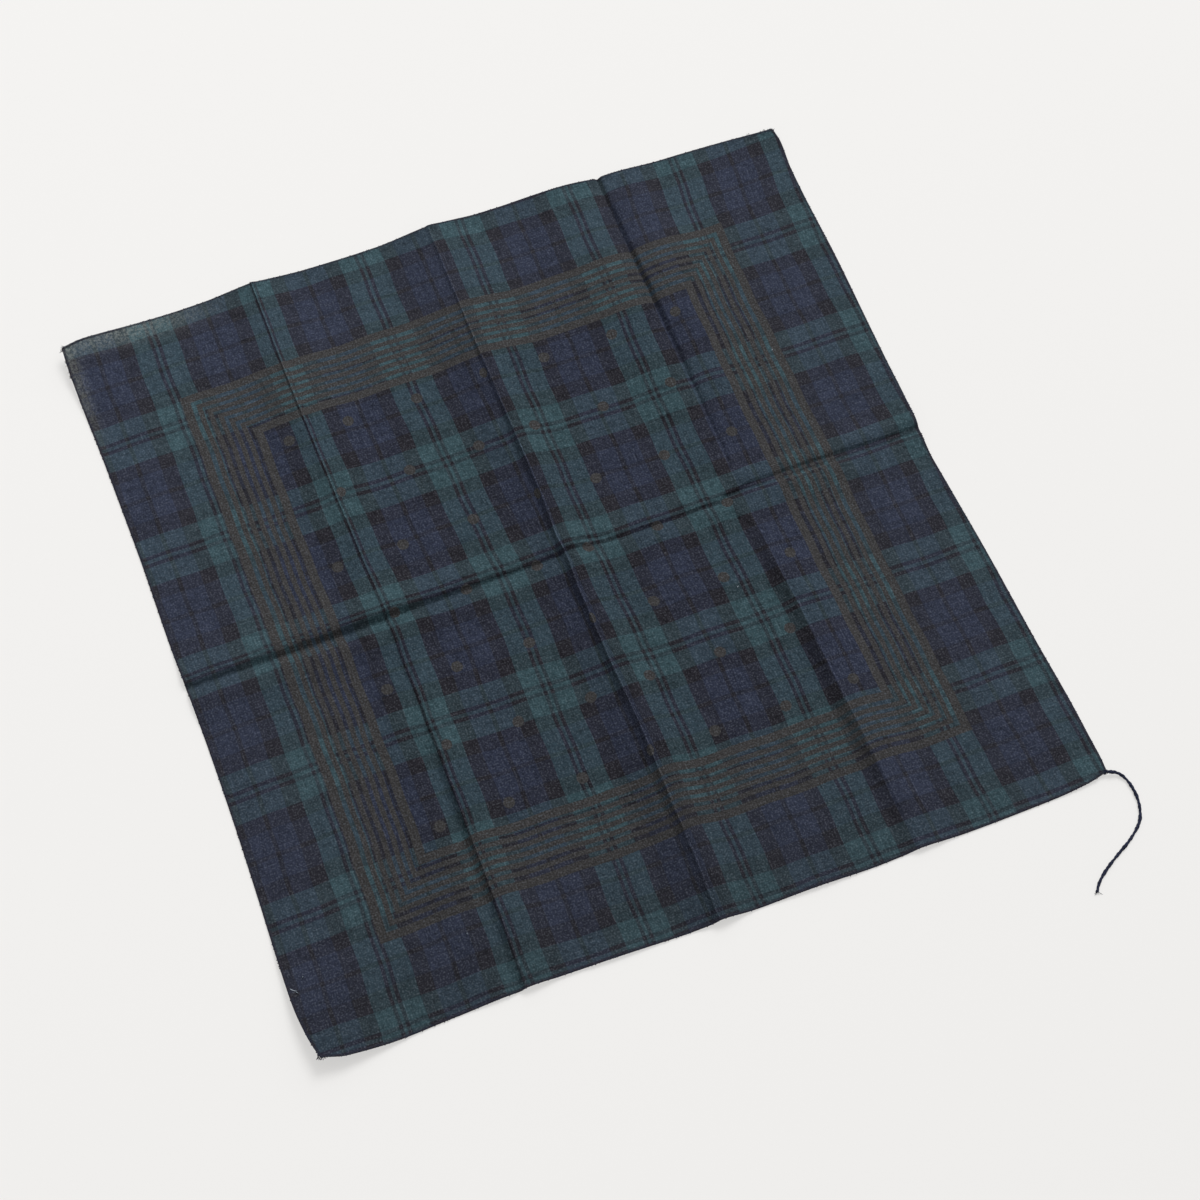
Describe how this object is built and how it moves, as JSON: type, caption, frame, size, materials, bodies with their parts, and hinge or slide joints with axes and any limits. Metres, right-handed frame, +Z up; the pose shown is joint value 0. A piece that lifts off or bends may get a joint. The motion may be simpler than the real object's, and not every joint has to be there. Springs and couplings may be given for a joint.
{
  "type": "bandana with fold creases, opened out flat",
  "caption": "Square cotton bandana laid open on a surface, still ridged where it was folded across and in quarters, with an overlocked edge and a loose thread at one corner.",
  "frame": {"origin": "centre of the cloth's box, on the surface that it lies on", "axes": "+X along the near edge to the corner with the loose thread, +Y away from that edge, +Z up from the surface"},
  "size_m": [0.5382, 0.5994, 0.0117],
  "materials": {
    "cloth": "thin plain-woven cotton, navy and teal plaid with a soft dark brown overprint, matt",
    "thread": "plied navy sewing thread, matt"
  },
  "bodies": {
    "root": {"cloth": "cloth", "thread_tail": "thread"}
  },
  "joints": []
}
